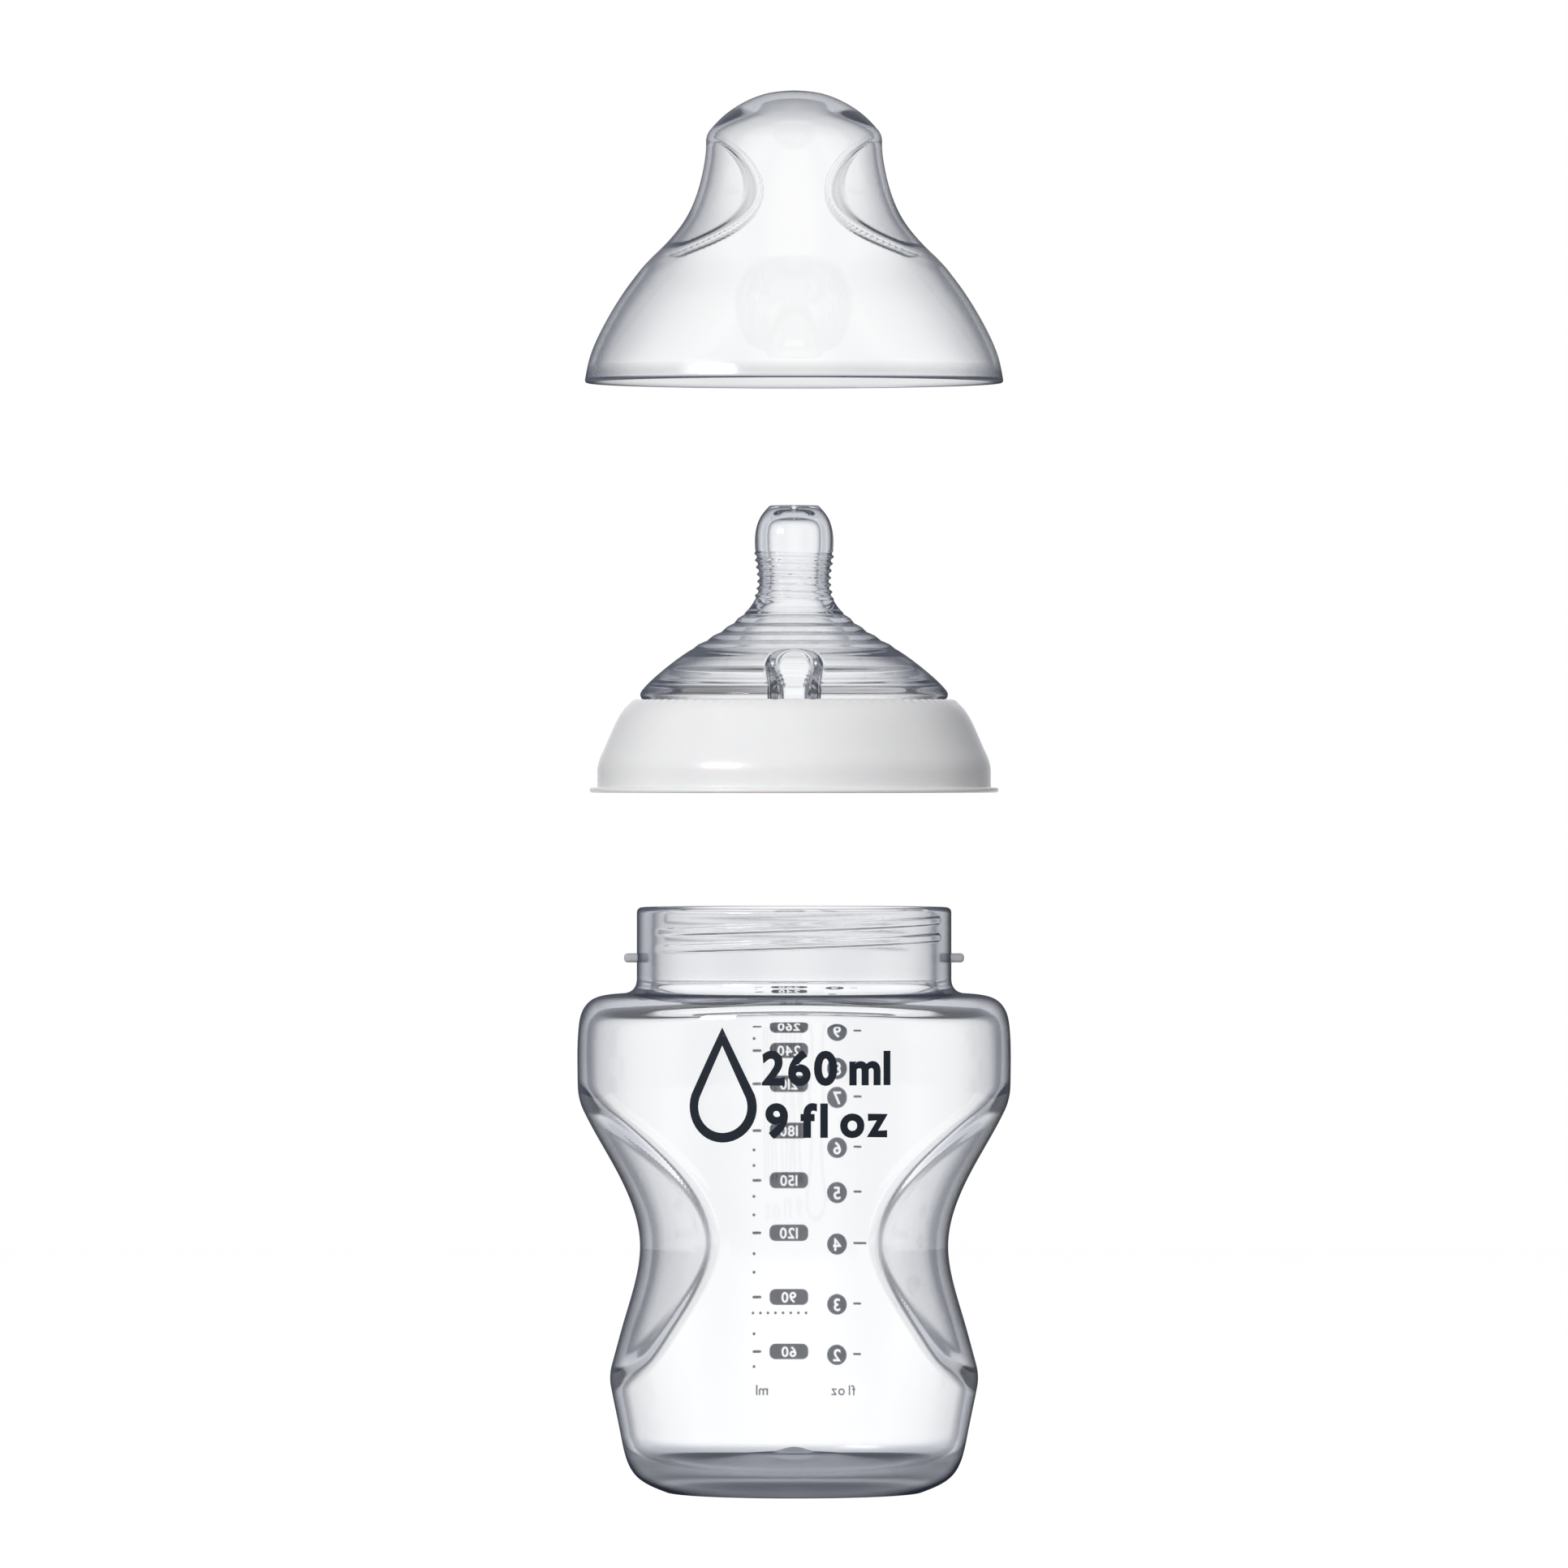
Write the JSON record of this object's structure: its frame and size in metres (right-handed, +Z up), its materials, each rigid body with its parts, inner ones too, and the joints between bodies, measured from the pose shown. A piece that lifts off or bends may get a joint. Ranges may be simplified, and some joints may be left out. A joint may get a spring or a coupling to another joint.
{
  "type": "baby bottle",
  "caption": "Wide-neck feeding bottle with a pinched waist, screw ring, silicone teat with a valve and a clear travel cap.",
  "frame": {"origin": "centre of the bottle's foot, on the surface it stands on", "axes": "+Z up along the bottle's axis; -Y is the front, where the teat's valve is; the finger dents are on +X and -X"},
  "size_m": [0.0778, 0.0778, 0.25],
  "materials": {
    "clear_plastic": "gloss",
    "white_plastic": "satin",
    "clear_silicone": "gloss",
    "print_ink": "matte"
  },
  "bodies": {
    "bottle": {"bottle": "clear_plastic"},
    "teat": {"teat": "clear_silicone"},
    "screw_ring": {"screw_ring": "white_plastic"},
    "cap": {"cap": "clear_plastic"}
  },
  "joints": [
    {"name": "closure_lift", "type": "slide", "parent": "bottle", "child": "teat", "axis": [0, 0, 1], "range_m": [-0.03, 0]},
    {"name": "ring_turn", "type": "hinge", "parent": "teat", "child": "screw_ring", "pos_m": [0, 0, 0], "axis": [0, 0, 1], "range_deg": [-1800, 0]},
    {"name": "cap_lift", "type": "slide", "parent": "screw_ring", "child": "cap", "axis": [0, 0, 1], "range_m": [-0.072, 0]}
  ],
  "couplings": [
    {"joint": "ring_turn", "follows": "closure_lift", "rad_per_m": 1047.2}
  ]
}
